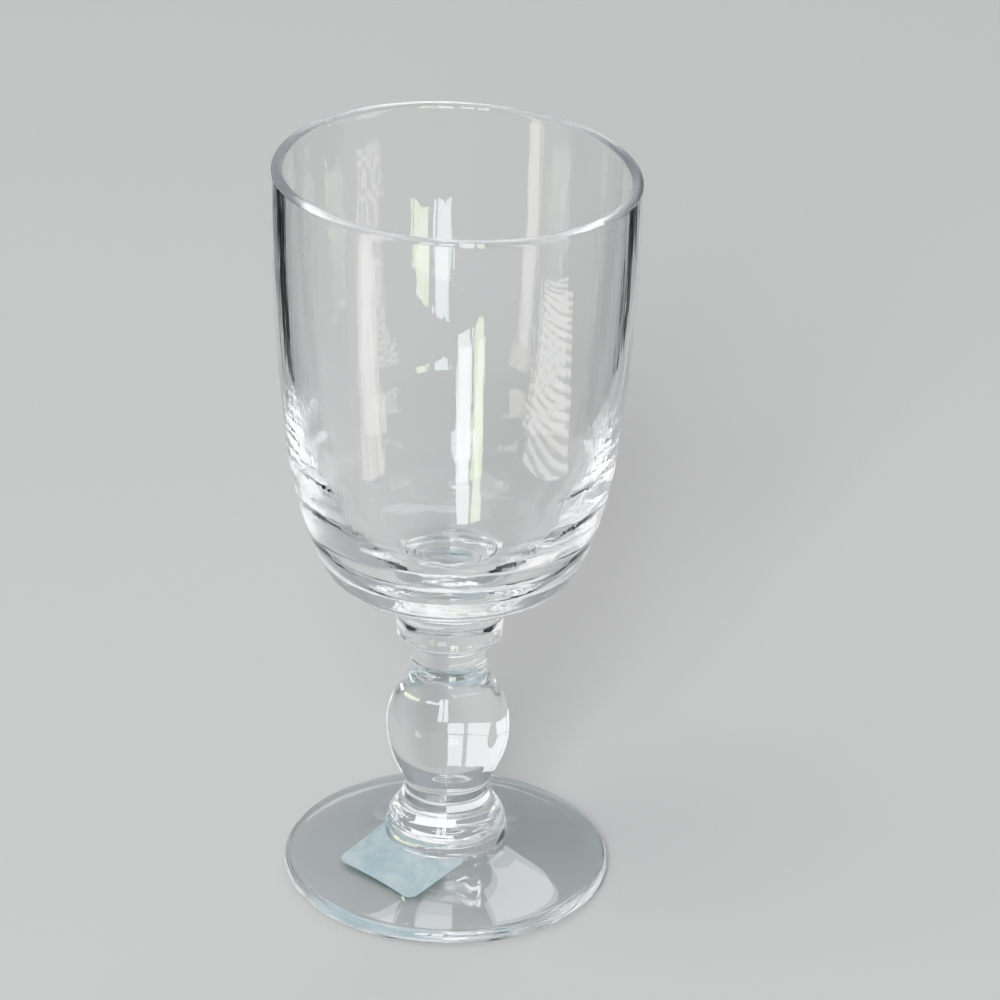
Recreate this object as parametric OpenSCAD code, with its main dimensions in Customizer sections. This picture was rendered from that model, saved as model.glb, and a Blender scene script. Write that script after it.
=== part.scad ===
// Stemmed water goblet in clear glass: a deep bowl with a thick solid
// base, a stepped collar, a solid ball knop, a stack of rings and a
// trumpet foot with a thick rounded edge.
// All pieces turn about the Z axis. The origin is the centre of the
// resting plane, +Z points up to the rim, and lengths are in mm.

/* [Bowl] */
// Outside diameter at the rim
rim_d = 82; // [74:0.5:88]
// Height of the bowl, from the top of the collar to the rim
bowl_h = 106.1; // [95:0.1:117]
// Thickness of the wall at the fire-polished rim
rim_t = 2.6; // [2:0.1:3.2]
// Lean of the rim towards +X, since it is finished by hand
rim_lean = 1.7; // [0:0.1:2.5]
// Depth of solid glass under the bowl's floor
floor_t = 10; // [8:0.5:12]

/* [Stem] */
// Diameter of the collar under the bowl, at its straight part
collar_d = 24.6; // [22:0.2:28]
// Height of the collar under the bowl, with its flare
collar_h = 11.8; // [10:0.1:14]
// Diameter of the waist between collar and ball
waist_d = 17.7; // [15:0.1:20]
// Height of the waist between collar and ball
waist_h = 3.5; // [2.5:0.1:5]
// Largest diameter of the ball knop
ball_d = 28.8; // [24:0.2:34]
// Height of the ball knop, necks included
ball_h = 34.7; // [30:0.1:40]
// Diameter of the ball knop's lower neck
neck_d = 19.4; // [16:0.1:21]

/* [Rings under the ball] */
// Diameter of the small ring under the ball
ring_d = 21; // [19:0.1:24]
// Height of the small ring
ring_h = 2.2; // [1.5:0.1:4]
// Diameter of the sloping shoulder ring
shoulder_d = 27.4; // [25:0.2:31]
// Height of the shoulder ring
shoulder_h = 6.8; // [5:0.1:9]
// Diameter of the bottom ring, which stands on the foot
base_ring_d = 28.7; // [26:0.1:33]
// Height of the bottom ring
base_ring_h = 3.4; // [2.5:0.1:5]

/* [Foot] */
// Outside diameter of the foot
foot_d = 76; // [68:0.5:84]
// Thickness of the foot's rounded edge
foot_t = 4; // [3.4:0.1:4]
// Rise of the foot's top, from its edge to the bottom ring
foot_rise = 5.2; // [4:0.1:7]

/* [Label] */
// Longer side of the blank paper label
label_w = 24.6; // [20:0.2:26]
// Shorter side of the blank paper label
label_l = 18; // [14:0.5:20]
// Radius of the label's corners
label_r = 2.6; // [1:0.1:4]
// Turn of the label about the Z axis
label_turn = -46; // [-90:1:90]

/* [Hidden] */
$fn = 180;
steps = 6;
ring_seat = foot_t + foot_rise;
z_shoulder = ring_seat + base_ring_h;
z_ring = z_shoulder + shoulder_h;
z_ball = z_ring + ring_h;
z_waist = z_ball + ball_h;
z_collar = z_waist + waist_h;
z_bowl = z_collar + collar_h;
z_rim = z_bowl + bowl_h;
z_floor = z_bowl + floor_t;
flare = 2;
label_t = 0.12;
label_at = [-10, -7.9];
edge_r = foot_d/2 - foot_t/2;
seat_r = base_ring_d/2 - 0.15;
lift = 0.29*foot_rise/(edge_r - seat_r);
bend = 0.71*foot_rise/pow(edge_r - seat_r, 2);
dome = ring_seat - 3.3;
plate_t = foot_t + 0.2;

// Bowl's outside, as [part of the rim radius, part of the bowl height]
bowl_out = [
    [0.405, 0.012], [0.505, 0.031], [0.607, 0.051], [0.682, 0.073],
    [0.730, 0.100], [0.774, 0.135], [0.806, 0.173], [0.842, 0.220],
    [0.876, 0.277], [0.916, 0.362], [0.946, 0.475], [0.975, 0.626],
    [0.995, 0.796]
];
// Bowl's inside above its floor, as [part of the inner rim radius,
// part of the height from floor to rim]
bowl_in = [
    [0.254, 0.005], [0.404, 0.018], [0.516, 0.041], [0.622, 0.077],
    [0.712, 0.125], [0.784, 0.185], [0.842, 0.254], [0.891, 0.327],
    [0.928, 0.421], [0.960, 0.545], [0.983, 0.691], [0.996, 0.836]
];
// Side of the ball between its necks, as [part of the ball radius,
// part of the ball height]
ball_side = [
    [0.710, 0.084], [0.832, 0.184], [0.951, 0.300], [1.000, 0.430],
    [0.975, 0.559], [0.887, 0.674], [0.728, 0.790], [0.633, 0.905]
];

// Point on a smooth curve that passes through its control points
function spline(a, b, c, d, t) =
    0.5*(2*b + (c - a)*t + (2*a - 5*b + 4*c - d)*t*t
         + (3*b - a - 3*c + d)*t*t*t);
function smooth(p, n) = concat(
    [for (i = [0:len(p) - 2], k = [0:n - 1])
        spline(p[max(i - 1, 0)], p[i], p[i + 1],
               p[min(i + 2, len(p) - 1)], k/n)],
    [p[len(p) - 1]]);
// Points along an arc, from angle a to angle b
function arc(cx, cy, r, a, b, n) =
    [for (k = [0:n]) [cx + r*cos(a + (b - a)*k/n),
                      cy + r*sin(a + (b - a)*k/n)]];
// Points placed by parts of a radius and a height
function placed(p, r, h, z0) = [for (q = p) [q[0]*r, z0 + q[1]*h]];

// A ring with rounded corners, between two heights
module rounded_ring(r_low, r_high, z0, z1, e_low, e_high) {
    rotate_extrude()
        polygon(concat(
            [[0, z0]],
            arc(r_low - e_low, z0 + e_low, e_low, -90, 0, 6),
            arc(r_high - e_high, z1 - e_high, e_high, 0, 90, 6),
            [[0, z1]]));
}

// Space over the rim: what is left under it is a full round lip. It
// leans a little towards +X.
module rim_mould() {
    r = rim_d/2;
    e = rim_t/2;
    x = e*cos(15) + 0.5;
    z = e*sin(15) - 0.5/tan(15);
    translate([e - r, 0, z_rim - e])
        rotate([0, rim_lean, 0])
            translate([r - e, 0, 0])
                rotate_extrude()
                    polygon(concat(
                        [[r - e + x, z]],
                        arc(r - e, 0, e, 15, 165, 10),
                        [[r - e - x, z], [r - e - x, e + 6],
                         [r - e + x, e + 6]]));
}

// Deep open bowl with a thick solid base and a fire-polished rim
module bowl() {
    r = rim_d/2;
    e = rim_t/2;
    outside = smooth(concat(
        [[collar_d/2 + flare, z_bowl]],
        placed(bowl_out, r, bowl_h, z_bowl),
        [[r, z_rim - e]]), steps);
    inside = smooth(concat(
        [[0, z_floor]],
        placed(bowl_in, r - rim_t, z_rim - z_floor, z_floor),
        [[r - rim_t, z_rim - e]]), steps);
    color([0.86, 0.90, 0.92, 0.35])
        difference() {
            rotate_extrude()
                polygon(concat(
                    [[0, z_bowl]],
                    outside,
                    [[r, z_rim + 1], [r - rim_t, z_rim + 1]],
                    [for (i = [len(inside) - 1:-1:0]) inside[i]]));
            rim_mould();
        }
}

// Collar under the bowl: rounded in below, then straight, then flared
// out where it is fused to the bowl
module bowl_collar() {
    rc = collar_d/2;
    rw = waist_d/2 + 0.5;
    under = smooth([
        [rw, z_collar], [rw + 0.4, z_collar + 0.5],
        [rw + 1.3, z_collar + 1.2], [rc - 0.7, z_collar + 1.9],
        [rc + 0.05, z_collar + 2.9], [rc, z_collar + 3.9]], steps);
    over = smooth([
        [rc + 0.02, z_bowl - 5.6], [rc + 0.15, z_bowl - 3.6],
        [rc + 0.75, z_bowl - 1.6], [rc + flare, z_bowl]], steps);
    color([0.84, 0.89, 0.91, 0.4])
        rotate_extrude()
            polygon(concat([[0, z_collar]], under, over,
                           [[0, z_bowl]]));
}

// Short waist between the collar and the ball
module waist() {
    rw = waist_d/2;
    color([0.82, 0.88, 0.90, 0.4])
        rotate_extrude()
            polygon(concat(
                [[0, z_waist]],
                smooth([[rw, z_waist], [rw + 0.22, z_waist + 0.9],
                        [rw + 0.3, z_waist + 2.1],
                        [rw + 0.5, z_collar]], steps),
                [[0, z_collar]]));
}

// Solid ball knop, which flows into a neck above and a neck below
module ball_knop() {
    color([0.85, 0.89, 0.90, 0.4])
        rotate_extrude()
            polygon(concat(
                [[0, z_ball]],
                smooth(concat(
                    [[neck_d/2, z_ball]],
                    placed(ball_side, ball_d/2, ball_h, z_ball),
                    [[waist_d/2, z_waist]]), 5),
                [[0, z_waist]]));
}

// Small ring between the ball and the shoulder
module neck_ring() {
    color([0.80, 0.87, 0.90, 0.4])
        rounded_ring(ring_d/2, ring_d/2 - 0.3, z_ring, z_ball,
                     0.35, 0.6);
}

// Ring whose top slopes down as a shoulder
module shoulder_ring() {
    rs = shoulder_d/2;
    r0 = ring_d/2 - 0.1;
    color([0.83, 0.88, 0.90, 0.4])
        rotate_extrude()
            polygon(concat(
                [[0, z_shoulder]],
                arc(rs - 0.5, z_shoulder + 0.35, 0.35, -90, -20, 4),
                smooth([[rs, z_shoulder + 1.0],
                        [rs - 0.2, z_shoulder + 2.0],
                        [rs - 0.65, z_shoulder + 2.9],
                        [rs - 1.7, z_shoulder + 4.3],
                        [r0 + 0.5, z_shoulder + 5.8],
                        [r0, z_ring]], steps),
                [[0, z_ring]]));
}

// Bottom ring, which stands on the foot
module base_ring() {
    color([0.80, 0.86, 0.89, 0.4])
        rounded_ring(base_ring_d/2, base_ring_d/2 - 0.25,
                     ring_seat, z_shoulder, 0.7, 0.9);
}

// Height of the foot's top at a radius: a trumpet curve
function top_at(r) =
    foot_t + lift*(edge_r - r) + bend*pow(edge_r - r, 2);
// The lower of two heights, with a soft change from one to the other
function soft_min(a, b, k) = -k*ln(exp(-a/k) + exp(-b/k));
// Height of the foot's underside: it follows the top, and levels out
// to a shallow dome in the middle
function under_at(r) =
    max(0, soft_min(dome, top_at(r) - plate_t, 0.35));
// Radii from the axis out to where the underside meets the table
under_radii = concat([0, 3, 6], [for (r = [8:1:16]) r],
                     [for (r = [18:2:edge_r - 4]) r],
                     [edge_r - 2.8, edge_r - 2]);

// Trumpet foot of even thickness: the top sweeps up to the rings, the
// edge is a full round, and the hollow underside ends in a flat band
// that the goblet rests on
module foot() {
    e = foot_t/2;
    n = 16;
    color([0.82, 0.90, 0.90, 0.35])
        rotate_extrude()
            polygon(concat(
                [for (r = under_radii) [r, under_at(r)]],
                [[edge_r - 1.9, 0]],
                arc(edge_r, e, e, -90, 90, 16),
                [for (i = [1:n])
                    let (r = edge_r - (edge_r - seat_r)*i/n)
                    [r, top_at(r)]],
                [[0, ring_seat]]));
}

// Outline of the label
module label_shape() {
    w = label_w/2 - label_r;
    l = label_l/2 - label_r;
    union() {
        square([2*w, label_l], center = true);
        square([label_w, 2*l], center = true);
        for (x = [-w, w], y = [-l, l])
            translate([x, y]) circle(r = label_r);
    }
}

// Blank paper label with rounded corners. It is bent to the hollow
// underside of the foot, where it is stuck.
module paper_label() {
    skin = [for (r = under_radii) if (r < 29) [r, under_at(r)]];
    n = len(skin);
    color([0.80, 0.88, 0.90])
        intersection() {
            rotate_extrude()
                polygon(concat(
                    [for (q = skin) [q[0], q[1] - label_t]],
                    [for (i = [n - 1:-1:0]) skin[i]]));
            translate([label_at[0], label_at[1], -1])
                rotate(label_turn)
                    linear_extrude(height = ring_seat)
                        label_shape();
        }
}

bowl();
bowl_collar();
waist();
ball_knop();
neck_ring();
shoulder_ring();
base_ring();
foot();
paper_label();
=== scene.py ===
import math
import bpy
import bmesh
from mathutils import Matrix, Vector


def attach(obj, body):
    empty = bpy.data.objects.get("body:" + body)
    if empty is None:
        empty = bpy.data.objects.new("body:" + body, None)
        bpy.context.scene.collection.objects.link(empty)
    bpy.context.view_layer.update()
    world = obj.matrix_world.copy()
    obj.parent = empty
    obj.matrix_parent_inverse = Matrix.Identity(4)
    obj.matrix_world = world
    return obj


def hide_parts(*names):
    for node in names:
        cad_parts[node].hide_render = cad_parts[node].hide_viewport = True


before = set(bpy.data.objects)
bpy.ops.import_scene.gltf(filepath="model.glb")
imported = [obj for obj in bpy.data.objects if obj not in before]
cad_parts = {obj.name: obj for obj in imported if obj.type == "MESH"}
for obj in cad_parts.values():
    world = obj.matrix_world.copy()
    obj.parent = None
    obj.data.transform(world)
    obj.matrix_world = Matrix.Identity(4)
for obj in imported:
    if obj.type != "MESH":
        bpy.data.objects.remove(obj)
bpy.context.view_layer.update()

MM = 0.001


# ---------------------------------------------------------------- profiles
# Radii and heights in millimetres. The same driving sizes and the same
# smooth curves as the solids, sampled more finely.

RIM_R, RIM_T, LEAN = 41.0, 2.6, 1.7
Z_SEAT, Z_SHOULDER, Z_RING, Z_BALL = 9.2, 12.6, 19.4, 21.6
Z_WAIST, Z_COLLAR, Z_BOWL, Z_RIM = 56.3, 59.8, 71.6, 177.7
Z_FLOOR = 81.6
COLLAR_R, FLARE, WAIST_R, NECK_R = 12.3, 2.0, 8.85, 9.7
BALL_R, RING_R, SHOULDER_R, BASE_R = 14.4, 10.5, 13.7, 14.35
FOOT_R, FOOT_T, RISE, PLATE_T = 38.0, 4.0, 5.2, 4.2

BOWL_OUT = [(0.405, 0.012), (0.505, 0.031), (0.607, 0.051),
            (0.682, 0.073), (0.730, 0.100), (0.774, 0.135),
            (0.806, 0.173), (0.842, 0.220), (0.876, 0.277),
            (0.916, 0.362), (0.946, 0.475), (0.975, 0.626),
            (0.995, 0.796)]
BOWL_IN = [(0.254, 0.005), (0.404, 0.018), (0.516, 0.041),
           (0.622, 0.077), (0.712, 0.125), (0.784, 0.185),
           (0.842, 0.254), (0.891, 0.327), (0.928, 0.421),
           (0.960, 0.545), (0.983, 0.691), (0.996, 0.836)]
BALL_SIDE = [(0.710, 0.084), (0.832, 0.184), (0.951, 0.300),
             (1.000, 0.430), (0.975, 0.559), (0.887, 0.674),
             (0.728, 0.790), (0.633, 0.905)]


def spline(a, b, c, d, t):
    return tuple(0.5 * (2 * q + (r - p) * t
                        + (2 * p - 5 * q + 4 * r - s) * t * t
                        + (3 * q - p - 3 * r + s) * t ** 3)
                 for p, q, r, s in zip(a, b, c, d))


def smooth(p, n):
    out = []
    last = len(p) - 1
    for i in range(last):
        for k in range(n):
            out.append(spline(p[max(i - 1, 0)], p[i], p[i + 1],
                              p[min(i + 2, last)], k / n))
    out.append(tuple(p[last]))
    return out


def arc(cx, cy, r, a, b, n):
    return [(cx + r * math.cos(math.radians(a + (b - a) * k / n)),
             cy + r * math.sin(math.radians(a + (b - a) * k / n)))
            for k in range(n + 1)]


def placed(p, r, h, z0):
    return [(a * r, z0 + b * h) for a, b in p]


# -------------------------------------------------------------- materials

def new_material(name):
    m = bpy.data.materials.new(name)
    m.use_nodes = True
    nt = m.node_tree
    for n in list(nt.nodes):
        nt.nodes.remove(n)
    return m, nt


def node(nt, kind, **values):
    n = nt.nodes.new(kind)
    for key, value in values.items():
        if key.startswith("_"):
            setattr(n, key[1:], value)
        else:
            n.inputs[key.replace("__", " ")].default_value = value
    return n


def glass(name, tint, pale, wave=0.05, wave_size=70.0, film=0.012,
          strand=0.0):
    """Clear solid glass. tint and pale are the two ends of its very slight
    colour drift; wave is the soft unevenness of a fire-polished surface;
    film is the thin uneven haze that handling leaves on it; strand is the
    depth of the fine upright lines of a drawn wall."""
    m, nt = new_material(name)
    out = node(nt, "ShaderNodeOutputMaterial")
    bsdf = node(nt, "ShaderNodeBsdfPrincipled")
    bsdf.inputs["Transmission Weight"].default_value = 1.0
    bsdf.inputs["IOR"].default_value = 1.52
    place = node(nt, "ShaderNodeTexCoord")
    drift = node(nt, "ShaderNodeTexNoise", Scale=22.0, Detail=2.0,
                 Roughness=0.5)
    nt.links.new(place.outputs["Object"], drift.inputs["Vector"])
    ramp = node(nt, "ShaderNodeValToRGB")
    ramp.color_ramp.elements[0].position = 0.35
    ramp.color_ramp.elements[0].color = (*tint, 1)
    ramp.color_ramp.elements[1].position = 0.65
    ramp.color_ramp.elements[1].color = (*pale, 1)
    nt.links.new(drift.outputs["Fac"], ramp.inputs["Fac"])
    nt.links.new(ramp.outputs["Color"], bsdf.inputs["Base Color"])
    haze = node(nt, "ShaderNodeTexNoise", Scale=90.0, Detail=6.0,
                Roughness=0.62)
    nt.links.new(place.outputs["Object"], haze.inputs["Vector"])
    spread = node(nt, "ShaderNodeMapRange")
    spread.inputs["From Min"].default_value = 0.45
    spread.inputs["From Max"].default_value = 0.80
    spread.inputs["To Min"].default_value = 0.0
    spread.inputs["To Max"].default_value = film
    nt.links.new(haze.outputs["Fac"], spread.inputs["Value"])
    nt.links.new(spread.outputs["Result"], bsdf.inputs["Roughness"])
    roll = node(nt, "ShaderNodeTexNoise", Scale=wave_size, Detail=1.0,
                Roughness=0.4)
    nt.links.new(place.outputs["Object"], roll.inputs["Vector"])
    bump = node(nt, "ShaderNodeBump", Strength=wave, Distance=0.0003)
    nt.links.new(roll.outputs["Fac"], bump.inputs["Height"])
    last = bump
    if strand:
        tall = node(nt, "ShaderNodeMapping")
        tall.inputs["Scale"].default_value = (1.0, 1.0, 0.03)
        nt.links.new(place.outputs["Object"], tall.inputs["Vector"])
        lines = node(nt, "ShaderNodeTexNoise", Scale=520.0, Detail=2.5,
                     Roughness=0.55)
        nt.links.new(tall.outputs["Vector"], lines.inputs["Vector"])
        last = node(nt, "ShaderNodeBump", Strength=strand,
                    Distance=0.00003)
        nt.links.new(lines.outputs["Fac"], last.inputs["Height"])
        nt.links.new(bump.outputs["Normal"], last.inputs["Normal"])
    nt.links.new(last.outputs["Normal"], bsdf.inputs["Normal"])
    nt.links.new(bsdf.outputs["BSDF"], out.inputs["Surface"])
    return m


def fused(name):
    """The hot joint inside the glass, where two gathers meet: nothing of
    it is seen, so light goes straight on."""
    m, nt = new_material(name)
    out = node(nt, "ShaderNodeOutputMaterial")
    clear = node(nt, "ShaderNodeBsdfTransparent")
    nt.links.new(clear.outputs["BSDF"], out.inputs["Surface"])
    return m


def paper(name):
    m, nt = new_material(name)
    out = node(nt, "ShaderNodeOutputMaterial")
    bsdf = node(nt, "ShaderNodeBsdfPrincipled")
    bsdf.inputs["Roughness"].default_value = 0.6
    bsdf.inputs["Sheen Weight"].default_value = 0.1
    place = node(nt, "ShaderNodeTexCoord")
    blot = node(nt, "ShaderNodeTexNoise", Scale=190.0, Detail=6.0,
                Roughness=0.66)
    nt.links.new(place.outputs["Object"], blot.inputs["Vector"])
    ramp = node(nt, "ShaderNodeValToRGB")
    e = ramp.color_ramp.elements
    e[0].position = 0.40
    e[0].color = (0.44, 0.68, 0.76, 1)
    e[1].position = 0.61
    e[1].color = (0.72, 0.91, 0.96, 1)
    mid = e.new(0.5)
    mid.color = (0.59, 0.81, 0.87, 1)
    nt.links.new(blot.outputs["Fac"], ramp.inputs["Fac"])
    nt.links.new(ramp.outputs["Color"], bsdf.inputs["Base Color"])
    fibre = node(nt, "ShaderNodeTexNoise", Scale=2600.0, Detail=3.0,
                 Roughness=0.6)
    nt.links.new(place.outputs["Object"], fibre.inputs["Vector"])
    bump = node(nt, "ShaderNodeBump", Strength=0.25, Distance=0.00004)
    nt.links.new(fibre.outputs["Fac"], bump.inputs["Height"])
    nt.links.new(bump.outputs["Normal"], bsdf.inputs["Normal"])
    nt.links.new(bsdf.outputs["BSDF"], out.inputs["Surface"])
    return m


BOWL_GLASS = glass("glass_bowl", (0.965, 0.985, 0.985),
                   (0.985, 0.992, 0.990), strand=1.0)
STEM_GLASS = glass("glass_stem", (0.955, 0.984, 0.978),
                   (0.980, 0.992, 0.989), wave=0.05, wave_size=110.0)
FOOT_GLASS = glass("glass_foot", (0.945, 0.987, 0.984),
                   (0.970, 0.993, 0.991), wave=0.06, wave_size=60.0)
JOINT = fused("glass_fused_joint")
PAPER = paper("label_paper")


# ------------------------------------------------------------------ meshes

def lathe(name, profile, joints, segments, material, wave=None):
    """Turns a closed profile about Z. profile is a list of (r, z) in mm
    from the axis at the bottom, round the outside, to the axis at the
    top; joints is the set of profile steps that are fused joints."""
    verts, rows = [], []
    for i, (r, z) in enumerate(profile):
        if r < 1e-6:
            rows.append([len(verts)])
            verts.append((0.0, 0.0, z * MM))
            continue
        row = []
        for s in range(segments):
            t = 2 * math.pi * s / segments
            rr, zz = (r, z) if wave is None else wave(i, r, z, t)
            row.append(len(verts))
            verts.append((rr * math.cos(t) * MM, rr * math.sin(t) * MM,
                          zz * MM))
        rows.append(row)
    faces, slots = [], []
    for i in range(len(rows) - 1):
        a, b = rows[i], rows[i + 1]
        if len(a) == 1 and len(b) == 1:
            continue
        for s in range(segments):
            n = (s + 1) % segments
            if len(a) == 1:
                faces.append((a[0], b[n], b[s]))
            elif len(b) == 1:
                faces.append((a[s], a[n], b[0]))
            else:
                faces.append((a[s], a[n], b[n], b[s]))
            slots.append(1 if i in joints else 0)
    me = bpy.data.meshes.new(name)
    me.from_pydata(verts, [], faces)
    me.materials.append(material)
    me.materials.append(JOINT)
    for p, s in zip(me.polygons, slots):
        p.material_index = s
        p.use_smooth = True
    me.validate()
    bm = bmesh.new()
    bm.from_mesh(me)
    bmesh.ops.recalc_face_normals(bm, faces=bm.faces)
    bm.to_mesh(me)
    bm.free()
    me.set_sharp_from_angle(angle=math.radians(28))
    ob = bpy.data.objects.new(name, me)
    bpy.context.scene.collection.objects.link(ob)
    return ob


def ripple(z, t, k):
    """Sum of slow waves round and up the glass, between 0 and 1."""
    v = (math.sin(3 * t + 0.11 * z + k) + math.sin(5 * t - 0.17 * z + 2 * k)
         + 0.7 * math.sin(8 * t + 0.31 * z + 3 * k)
         + 0.5 * math.sin(13 * t - 0.43 * z + 4 * k))
    return 0.5 + v / 6.4


def drawn(z, t, k):
    """Long upright waves of a drawn wall, between 0 and 1."""
    v = (math.sin(3 * t + 0.020 * z + k)
         + 0.8 * math.sin(7 * t - 0.035 * z + 2 * k)
         + 0.5 * math.sin(12 * t + 0.050 * z + 3 * k)
         + 0.22 * math.sin(23 * t - 0.060 * z + 4 * k)
         + 0.10 * math.sin(41 * t + 0.090 * z + 5 * k)
         + 0.30 * math.sin(0.16 * z + 2 * t + k))
    return 0.5 + v / 6.2


def make_bowl():
    e = RIM_T / 2
    fall = math.sin(math.radians(LEAN))

    def lean(r, z, t):
        """The rim is lower towards +X; the upper wall goes with it."""
        f = max(0.0, min(1.0, (z - 140.0) / (Z_RIM - e - 140.0)))
        f = f * f * (3 - 2 * f)
        return z - f * fall * (r * math.cos(t) + RIM_R - e)
    outside = smooth([(COLLAR_R + FLARE, Z_BOWL)]
                     + placed(BOWL_OUT, RIM_R, Z_RIM - Z_BOWL, Z_BOWL)
                     + [(RIM_R, Z_RIM - e)], 8)
    lip = arc(RIM_R - e, Z_RIM - e, e, 11.25, 168.75, 14)
    inside = smooth([(0.0, Z_FLOOR)]
                    + placed(BOWL_IN, RIM_R - RIM_T, Z_RIM - Z_FLOOR,
                             Z_FLOOR)
                    + [(RIM_R - RIM_T, Z_RIM - e)], 8)
    inside.reverse()
    profile = [(0.0, Z_BOWL)] + outside + lip + inside
    first_inside = 1 + len(outside) + len(lip)

    def wave(i, r, z, t):
        if i < 2 or i >= len(profile) - 1:
            return r, z
        if i < 1 + len(outside):
            return r - 0.045 * drawn(z, t, 0.7) * min(
                1, (z - Z_BOWL) / 12), lean(r, z, t)
        if i < first_inside:
            return r, lean(r, z, t)
        # inside: hardly any unevenness high up, more where the glass is
        # thick and was pushed up last
        low = max(0.0, min(1.0, (112 - z) / 22))
        down = min(1.0, (Z_RIM - e - z) / 10)
        fine = (math.sin(21 * t + 0.9 * z) + math.sin(34 * t - 0.7 * z + 1)
                + math.sin(17 * t + 1.3 * z + 2)) / 3
        far = min(1.0, r / 12)
        return (r + far * down * (0.03 * (drawn(z, t, 2.1) - 0.5)
                                  + low * 0.09 * (ripple(2 * z, t, 3.3)
                                                  - 0.5)
                                  + low * 0.025 * fine), lean(r, z, t))

    return lathe("goblet_bowl", profile, {0}, 288, BOWL_GLASS, wave)


def make_collar():
    rw = WAIST_R + 0.5
    under = smooth([(rw, Z_COLLAR), (rw + 0.4, Z_COLLAR + 0.5),
                    (rw + 1.3, Z_COLLAR + 1.2),
                    (COLLAR_R - 0.7, Z_COLLAR + 1.9),
                    (COLLAR_R + 0.05, Z_COLLAR + 2.9),
                    (COLLAR_R, Z_COLLAR + 3.9)], 8)
    over = smooth([(COLLAR_R + 0.02, Z_BOWL - 5.6),
                   (COLLAR_R + 0.15, Z_BOWL - 3.6),
                   (COLLAR_R + 0.75, Z_BOWL - 1.6),
                   (COLLAR_R + FLARE, Z_BOWL)], 10)
    profile = [(0.0, Z_COLLAR)] + under + over + [(0.0, Z_BOWL)]
    return lathe("bowl_collar_glass", profile, {0, len(profile) - 2}, 224,
                 STEM_GLASS)


def make_waist():
    side = smooth([(WAIST_R, Z_WAIST), (WAIST_R + 0.22, Z_WAIST + 0.9),
                   (WAIST_R + 0.3, Z_WAIST + 2.1),
                   (WAIST_R + 0.5, Z_COLLAR)], 8)
    profile = [(0.0, Z_WAIST)] + side + [(0.0, Z_COLLAR)]
    return lathe("waist_glass", profile, {0, len(profile) - 2}, 224,
                 STEM_GLASS)


def make_ball():
    side = smooth([(NECK_R, Z_BALL)]
                  + placed(BALL_SIDE, BALL_R, Z_WAIST - Z_BALL, Z_BALL)
                  + [(WAIST_R, Z_WAIST)], 16)
    side[0] = (RING_R - 0.9, Z_BALL)
    profile = [(0.0, Z_BALL)] + side + [(0.0, Z_WAIST)]

    def wave(i, r, z, t):
        if i < 2 or i > len(profile) - 3:
            return r, z
        return r - 0.03 * ripple(z, t, 1.3), z

    return lathe("ball_knop_glass", profile, {0, len(profile) - 2}, 256,
                 STEM_GLASS, wave)


def rounded_ring(name, r_low, r_high, z0, z1, e_low, e_high):
    profile = ([(0.0, z0)]
               + arc(r_low - e_low, z0 + e_low, e_low, -90, 0, 10)
               + arc(r_high - e_high, z1 - e_high, e_high, 0, 90, 10)
               + [(0.0, z1)])
    return lathe(name, profile, {0, len(profile) - 2}, 224, STEM_GLASS)


def make_shoulder():
    rs, r0 = SHOULDER_R, RING_R - 0.1
    side = smooth([(rs, Z_SHOULDER + 1.0), (rs - 0.2, Z_SHOULDER + 2.0),
                   (rs - 0.65, Z_SHOULDER + 2.9),
                   (rs - 1.7, Z_SHOULDER + 4.3),
                   (r0 + 0.5, Z_SHOULDER + 5.8), (r0, Z_RING)], 8)
    profile = ([(0.0, Z_SHOULDER)]
               + arc(rs - 0.5, Z_SHOULDER + 0.35, 0.35, -90, -20, 8)
               + side[:-1] + [(r0, Z_RING), (RING_R - 0.35, Z_RING),
                              (0.0, Z_RING)])
    return lathe("shoulder_ring_glass", profile, {0, len(profile) - 2},
                 224, STEM_GLASS)


LIFT = 0.29 * RISE / (FOOT_R - FOOT_T / 2 - BASE_R + 0.15)
BEND = 0.71 * RISE / (FOOT_R - FOOT_T / 2 - BASE_R + 0.15) ** 2


def top_at(r):
    s = FOOT_R - FOOT_T / 2 - r
    return FOOT_T + LIFT * s + BEND * s * s


def under_at(r):
    """Underside of the foot: it follows the top at an even distance and
    levels out to a shallow dome in the middle."""
    a, b, k = Z_SEAT - 3.3, top_at(r) - PLATE_T, 0.35
    if b > a + 30 * k:
        return a
    return max(0.0, -k * math.log(math.exp(-a / k) + math.exp(-b / k)))


def foot_ripple(r, t):
    return 0.03 * ripple(r, t, 0.4)


def make_foot():
    e = FOOT_T / 2
    r1, r0 = FOOT_R - e, BASE_R - 0.15
    n = 48
    under = [(0.0, under_at(0.0))]
    under += [(k * 0.5, under_at(k * 0.5)) for k in range(2, 67)]
    under += [(33.4, under_at(33.4)), (33.8, under_at(33.8)), (34.0, 0.0),
              (34.1, 0.0)]
    edge = arc(r1, e, e, -90, 90, 26)
    top = []
    for i in range(1, n + 1):
        r = r1 - (r1 - r0) * i / n
        top.append((r, top_at(r)))
    seat = [(BASE_R - 0.7, Z_SEAT)]
    profile = under + edge + top + seat + [(0.0, Z_SEAT)]
    top_start = len(under) + len(edge)

    def wave(i, r, z, t):
        if top_start <= i < top_start + n - 1:
            return r, z - foot_ripple(r, t)
        return r, z

    return lathe("foot_glass", profile, {len(profile) - 2}, 256,
                 FOOT_GLASS, wave)


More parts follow.
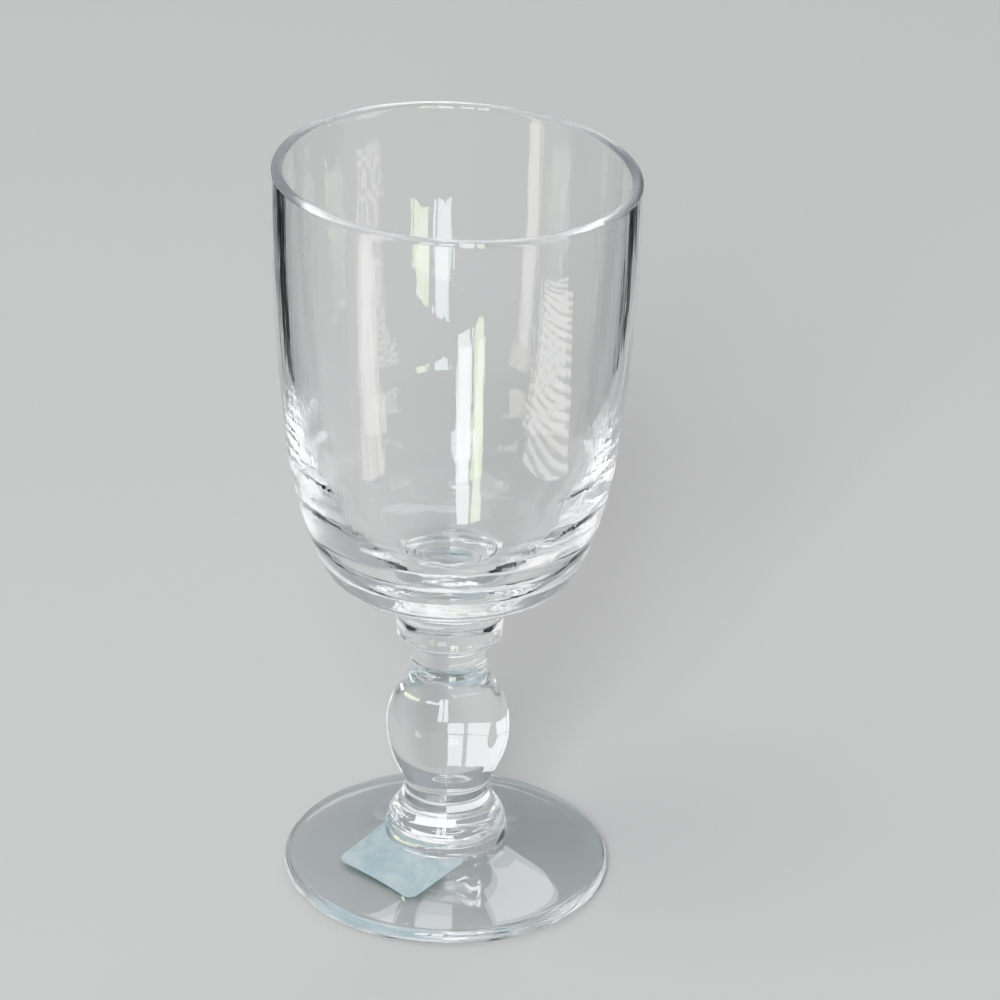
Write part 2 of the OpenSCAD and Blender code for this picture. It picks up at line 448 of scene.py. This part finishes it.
def make_label():
    """Blank paper label: a thin sheet with round corners that is bent to
    the underside of the foot. Its face is wetted by the adhesive, so it
    is seen through the glass."""
    w, l, r = 12.3, 9.0, 2.6
    outline = []
    for cx, cy, a in ((w - r, l - r, 0), (-w + r, l - r, 90),
                      (-w + r, -l + r, 180), (w - r, -l + r, 270)):
        part = arc(cx, cy, r, a, a + 90, 10)
        if outline:
            x0, y0 = outline[-1]
            x1, y1 = part[0]
            outline += [(x0 + (x1 - x0) * k / 24, y0 + (y1 - y0) * k / 24)
                        for k in range(1, 24)]
        outline += part
    x0, y0 = outline[-1]
    x1, y1 = outline[0]
    outline += [(x0 + (x1 - x0) * k / 24, y0 + (y1 - y0) * k / 24)
                for k in range(1, 24)]
    turn = math.radians(-46)
    c, s = math.cos(turn), math.sin(turn)
    rings = 24
    n = len(outline)

    def placed_at(x, y, drop):
        px, py = -10.0 + x * c - y * s, -7.9 + x * s + y * c
        z = under_at(math.hypot(px, py))
        return (px * MM, py * MM, (z - drop) * MM)

    verts, faces = [], []
    for drop in (-0.03, 0.115):
        for k in range(rings, 0, -1):
            f = k / rings
            for x, y in outline:
                verts.append(placed_at(x * f, y * f, drop))
        verts.append(placed_at(0.0, 0.0, drop))
    per = rings * n + 1
    for side in (0, 1):
        base = side * per
        for k in range(rings - 1):
            for i in range(n):
                j = (i + 1) % n
                q = (base + k * n + i, base + k * n + j,
                     base + (k + 1) * n + j, base + (k + 1) * n + i)
                faces.append(q if side == 0 else q[::-1])
        for i in range(n):
            j = (i + 1) % n
            q = (base + (rings - 1) * n + i, base + (rings - 1) * n + j,
                 base + per - 1)
            faces.append(q if side == 0 else q[::-1])
    for i in range(n):
        j = (i + 1) % n
        faces.append((i, per + i, per + j, j))
    me = bpy.data.meshes.new("blank_label")
    me.from_pydata(verts, [], faces)
    me.materials.append(PAPER)
    me.validate()
    bm = bmesh.new()
    bm.from_mesh(me)
    bmesh.ops.recalc_face_normals(bm, faces=bm.faces)
    bm.to_mesh(me)
    bm.free()
    for p in me.polygons:
        p.use_smooth = True
    me.set_sharp_from_angle(angle=math.radians(40))
    ob = bpy.data.objects.new("blank_label", me)
    bpy.context.scene.collection.objects.link(ob)
    return ob


pieces = [
    (make_bowl(), "bowl", "clear_glass"),
    (make_collar(), "bowl_collar", "clear_glass"),
    (make_waist(), "waist", "clear_glass"),
    (make_ball(), "ball_knop", "clear_glass"),
    (rounded_ring("neck_ring_glass", RING_R, RING_R - 0.3, Z_RING, Z_BALL,
                  0.35, 0.6), "neck_ring", "clear_glass"),
    (make_shoulder(), "shoulder_ring", "clear_glass"),
    (rounded_ring("base_ring_glass", BASE_R, BASE_R - 0.25, Z_SEAT,
                  Z_SHOULDER, 0.7, 0.9), "base_ring", "clear_glass"),
    (make_foot(), "foot", "clear_glass"),
    (make_label(), "paper_label", "label_paper"),
]
for piece, cad_node, slot in pieces:
    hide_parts(cad_node)
    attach(piece, "root")


# ------------------------------------------------------------------- stage

def make_floor():
    me = bpy.data.meshes.new("studio_floor")
    s = 4.0
    me.from_pydata([(-s, -s, -0.0002), (s, -s, -0.0002), (s, s, -0.0002),
                    (-s, s, -0.0002)], [], [(0, 1, 2, 3)])
    m, nt = new_material("studio_floor")
    out = node(nt, "ShaderNodeOutputMaterial")
    bsdf = node(nt, "ShaderNodeBsdfPrincipled", Roughness=0.55)
    bsdf.inputs["Base Color"].default_value = (0.52, 0.505, 0.48, 1)
    bsdf.inputs["Specular IOR Level"].default_value = 0.0
    nt.links.new(bsdf.outputs["BSDF"], out.inputs["Surface"])
    me.materials.append(m)
    ob = bpy.data.objects.new("studio_floor", me)
    bpy.context.scene.collection.objects.link(ob)
    return ob


make_floor()


def area(name, at, to, size, power, colour=(1, 1, 1)):
    data = bpy.data.lights.new(name, "AREA")
    data.shape = "RECTANGLE"
    data.size, data.size_y = size
    data.energy = power
    data.color = colour
    ob = bpy.data.objects.new(name, data)
    at, to = Vector(at), Vector(to)
    ob.location = at
    ob.rotation_euler = (to - at).to_track_quat("-Z", "Y").to_euler()
    bpy.context.scene.collection.objects.link(ob)
    return ob


AIM = (0, 0, 0.09)
# Large soft light overhead, and a wide low one behind
area("light_top", (-0.60, -0.25, 1.8), AIM, (1.2, 1.2), 15, (1.0, 0.99, 0.97))
area("light_back", (0.30, 1.25, 1.45), AIM, (1.0, 0.6), 8,
     (0.82, 0.91, 1.0))
# A window of two by three panes behind the camera, a little to the left
for ix in (-1, 1):
    for iz in range(3):
        area("light_pane_%d_%d" % (ix, iz),
             (-0.42 + ix * 0.24, -2.3, 1.05 + iz * 0.5), AIM,
             (0.36, 0.40), 15.0, (0.86, 0.95, 1.0))


def stage_card(name, verts, surface):
    """A flat card of the studio. It is seen only in the glass."""
    me = bpy.data.meshes.new(name)
    me.from_pydata(verts, [], [(0, 1, 2, 3)])
    me.materials.append(surface)
    ob = bpy.data.objects.new(name, me)
    bpy.context.scene.collection.objects.link(ob)
    ob.visible_camera = False
    ob.visible_diffuse = False
    ob.visible_shadow = False
    return ob


def mirrored_only(m, nt, shader, wall=None):
    """Lets a studio card be seen only as a reflection in the glass, and
    not straight through it. The wall is "far" for a card that is seen
    from above in the far wall alone, through the near one, and "near"
    for one that is seen in the near wall alone."""
    out = node(nt, "ShaderNodeOutputMaterial")
    path = node(nt, "ShaderNodeLightPath")
    seen = node(nt, "ShaderNodeMath", _operation="GREATER_THAN")
    seen.inputs[1].default_value = 0.5
    clear = node(nt, "ShaderNodeBsdfTransparent")
    mix = node(nt, "ShaderNodeMixShader")
    nt.links.new(path.outputs["Glossy Depth"], seen.inputs[0])
    fac = seen
    if wall:
        deep = node(nt, "ShaderNodeMath",
                    _operation="GREATER_THAN" if wall == "far"
                    else "LESS_THAN")
        deep.inputs[1].default_value = 2.5
        nt.links.new(path.outputs["Transmission Depth"], deep.inputs[0])
        fac = node(nt, "ShaderNodeMath", _operation="MULTIPLY")
        nt.links.new(seen.outputs["Value"], fac.inputs[0])
        nt.links.new(deep.outputs["Value"], fac.inputs[1])
    if wall == "far":
        both, side = fac, node(nt, "ShaderNodeNewGeometry")
        fac = node(nt, "ShaderNodeMath", _operation="SUBTRACT", _use_clamp=True)
        nt.links.new(both.outputs["Value"], fac.inputs[0])
        nt.links.new(side.outputs["Backfacing"], fac.inputs[1])
    nt.links.new(fac.outputs["Value"], mix.inputs["Fac"])
    nt.links.new(clear.outputs["BSDF"], mix.inputs[1])
    nt.links.new(shader, mix.inputs[2])
    nt.links.new(mix.outputs["Shader"], out.inputs["Surface"])
    m.cycles.emission_sampling = "NONE"


def lit(name, colour, other, power, along, grain, pitch=0.0, wall=None):
    """The face of a light card. It drifts between colour and other along
    the given axis, with the given grain; a pitch cuts it into slats."""
    m, nt = new_material(name)
    glow = node(nt, "ShaderNodeEmission", Strength=power)
    place = node(nt, "ShaderNodeNewGeometry")
    run = node(nt, "ShaderNodeVectorMath", _operation="DOT_PRODUCT")
    run.inputs[1].default_value = along
    nt.links.new(place.outputs["Position"], run.inputs[0])
    drift = node(nt, "ShaderNodeTexNoise", Scale=grain, Detail=1.0)
    drift.noise_dimensions = "1D"
    nt.links.new(run.outputs["Value"], drift.inputs["W"])
    ramp = node(nt, "ShaderNodeValToRGB")
    ramp.color_ramp.elements[0].position = 0.42
    ramp.color_ramp.elements[0].color = (*colour, 1)
    ramp.color_ramp.elements[1].position = 0.58
    ramp.color_ramp.elements[1].color = (*other, 1)
    nt.links.new(drift.outputs["Fac"], ramp.inputs["Fac"])
    nt.links.new(ramp.outputs["Color"], glow.inputs["Color"])
    if pitch:
        cell = node(nt, "ShaderNodeMath", _operation="WRAP")
        cell.inputs[1].default_value = 0.0
        cell.inputs[2].default_value = pitch
        nt.links.new(run.outputs["Value"], cell.inputs[0])
        gap = node(nt, "ShaderNodeMapRange")
        gap.interpolation_type = "SMOOTHSTEP"
        gap.inputs["From Min"].default_value = pitch * 0.35
        gap.inputs["From Max"].default_value = pitch * 0.65
        gap.inputs["To Min"].default_value = power * 0.3
        gap.inputs["To Max"].default_value = power
        nt.links.new(cell.outputs["Value"], gap.inputs["Value"])
        nt.links.new(gap.outputs["Result"], glow.inputs["Strength"])
    mirrored_only(m, nt, glow.outputs["Emission"], wall)
    return m


def lying(name, a, b, width, surface):
    """A card that lies in front of the goblet, from a to b."""
    a, b = Vector((*a, 0.004)), Vector((*b, 0.004))
    run = (b - a).normalized()
    side = Vector((-run.y, run.x, 0)) * width / 2
    return stage_card(name, [a - side, b - side, b + side, a + side],
                      surface)


WHITE, LEAF = (0.85, 0.97, 1.0), (0.45, 1.0, 0.14)
CREAM, LIME = (1.0, 0.97, 0.85), (0.85, 1.0, 0.60)
# Two tall panes, seen in the back wall
stage_card("studio_card_a", [(0.0042, -0.043, 0.108),
                             (0.0072, -0.089, 0.108),
                             (0.0262, -0.085, 0.108),
                             (0.0152, -0.043, 0.108)],
           lit("card_a", WHITE, (0.42, 0.86, 0.70), 40, (1, 0, 0), 230.0,
               wall="far"))
stage_card("studio_card_b", [(0.0218, -0.043, 0.108),
                             (0.0335, -0.079, 0.108),
                             (0.0490, -0.0745, 0.108),
                             (0.0334, -0.043, 0.108)],
           lit("card_b", LEAF, LIME, 38, (1, 0, 0), 230.0, wall="far"))
# Two narrow panes, seen in the front wall
stage_card("studio_card_c", [(0.008, -0.14, 0.004), (0.026, -0.14, 0.004),
                             (0.055, -0.31, 0.004),
                             (0.014, -0.31, 0.004)],
           lit("card_c", WHITE, (0.50, 0.90, 0.80), 38, (1, 0, 0), 150.0,
               wall="near"))
stage_card("studio_card_d", [(0.032, -0.14, 0.004), (0.046, -0.14, 0.004),
                             (0.102, -0.31, 0.004),
                             (0.074, -0.31, 0.004)],
           lit("card_d", LEAF, LIME, 32, (1, 0, 0), 150.0, wall="near"))
lying("studio_card_e", (-0.15, -0.12), (-0.36, -0.24), 0.055,
      lit("card_e", CREAM, (0.60, 0.57, 0.48), 10, (0.5, -0.86, 0), 110.0))
# A slatted blind low at the right
lying("studio_blind", (0.17, -0.090), (0.34, -0.160), 0.12,
      lit("blind", CREAM, (1.0, 1.0, 1.0), 9, (0.98, -0.19, 0), 24.0,
          0.012))


def dark(name):
    m, nt = new_material(name)
    bsdf = node(nt, "ShaderNodeBsdfDiffuse")
    bsdf.inputs["Color"].default_value = (0.012, 0.012, 0.014, 1)
    mirrored_only(m, nt, bsdf.outputs["BSDF"])
    return m


# Dark cards beside the goblet, just outside the picture: they draw the
# dark edges of the bowl
FLAG = dark("studio_flag")
for side, x in (("left", -0.165), ("right", 0.190)):
    stage_card("studio_flag_" + side,
               [(x, 0.0, 0.0), (x, 0.42, 0.0), (x, 0.42, 0.13),
                (x, 0.0, 0.13)], FLAG)

# Soft room light: brighter overhead, darker low down at both sides
world = bpy.data.worlds.new("studio")
bpy.context.scene.world = world
world.use_nodes = True
wt = world.node_tree
bg = wt.nodes.get("Background")
bg.inputs["Strength"].default_value = 0.62
sky_at = node(wt, "ShaderNodeTexCoord")
sky_xyz = node(wt, "ShaderNodeSeparateXYZ")
wt.links.new(sky_at.outputs["Generated"], sky_xyz.inputs["Vector"])
low = node(wt, "ShaderNodeValToRGB")
e = low.color_ramp.elements
e[0].position, e[0].color = 0.10, (0.09, 0.095, 0.11, 1)
e[1].position, e[1].color = 0.85, (0.52, 0.54, 0.58, 1)
ahead_back = node(wt, "ShaderNodeMath", _operation="ABSOLUTE")
wt.links.new(sky_xyz.outputs["Y"], ahead_back.inputs[0])
wt.links.new(ahead_back.outputs[0], low.inputs["Fac"])
rise = node(wt, "ShaderNodeMapRange")
rise.inputs["From Min"].default_value = 0.10
rise.inputs["From Max"].default_value = 0.75
wt.links.new(sky_xyz.outputs["Z"], rise.inputs["Value"])
both = node(wt, "ShaderNodeMixRGB")
both.inputs["Color2"].default_value = (0.55, 0.58, 0.63, 1)
wt.links.new(rise.outputs["Result"], both.inputs["Fac"])
wt.links.new(low.outputs["Color"], both.inputs["Color1"])
wt.links.new(both.outputs["Color"], bg.inputs["Color"])

# ------------------------------------------------------------------ camera

cam_data = bpy.data.cameras.new("camera")
cam = bpy.data.objects.new("camera", cam_data)
bpy.context.scene.collection.objects.link(cam)
bpy.context.scene.camera = cam
cam_data.sensor_fit = "HORIZONTAL"
cam_data.sensor_width = 36.0
cam_data.lens = 168.3
cam_data.clip_start = 0.01
yaw, pitch, roll = (math.radians(v) for v in (0.659, 26.37, 1.30))
ahead = Vector((math.sin(yaw) * math.cos(pitch),
                math.cos(yaw) * math.cos(pitch), -math.sin(pitch)))
right = Vector((math.cos(yaw), -math.sin(yaw), 0))
up = right.cross(ahead)
right, up = (right * math.cos(roll) + up * math.sin(roll),
             -right * math.sin(roll) + up * math.cos(roll))
cam.matrix_world = Matrix((
    (right.x, up.x, -ahead.x, 0.0),
    (right.y, up.y, -ahead.y, -0.9509),
    (right.z, up.z, -ahead.z, 0.5671),
    (0, 0, 0, 1)))

sc = bpy.context.scene
sc.view_settings.view_transform = "AgX"
sc.view_settings.look = "AgX - High Contrast"
sc.cycles.max_bounces = 96
sc.cycles.transmission_bounces = 96
sc.cycles.glossy_bounces = 96
sc.cycles.transparent_max_bounces = 40
sc.cycles.sample_clamp_indirect = 34.0
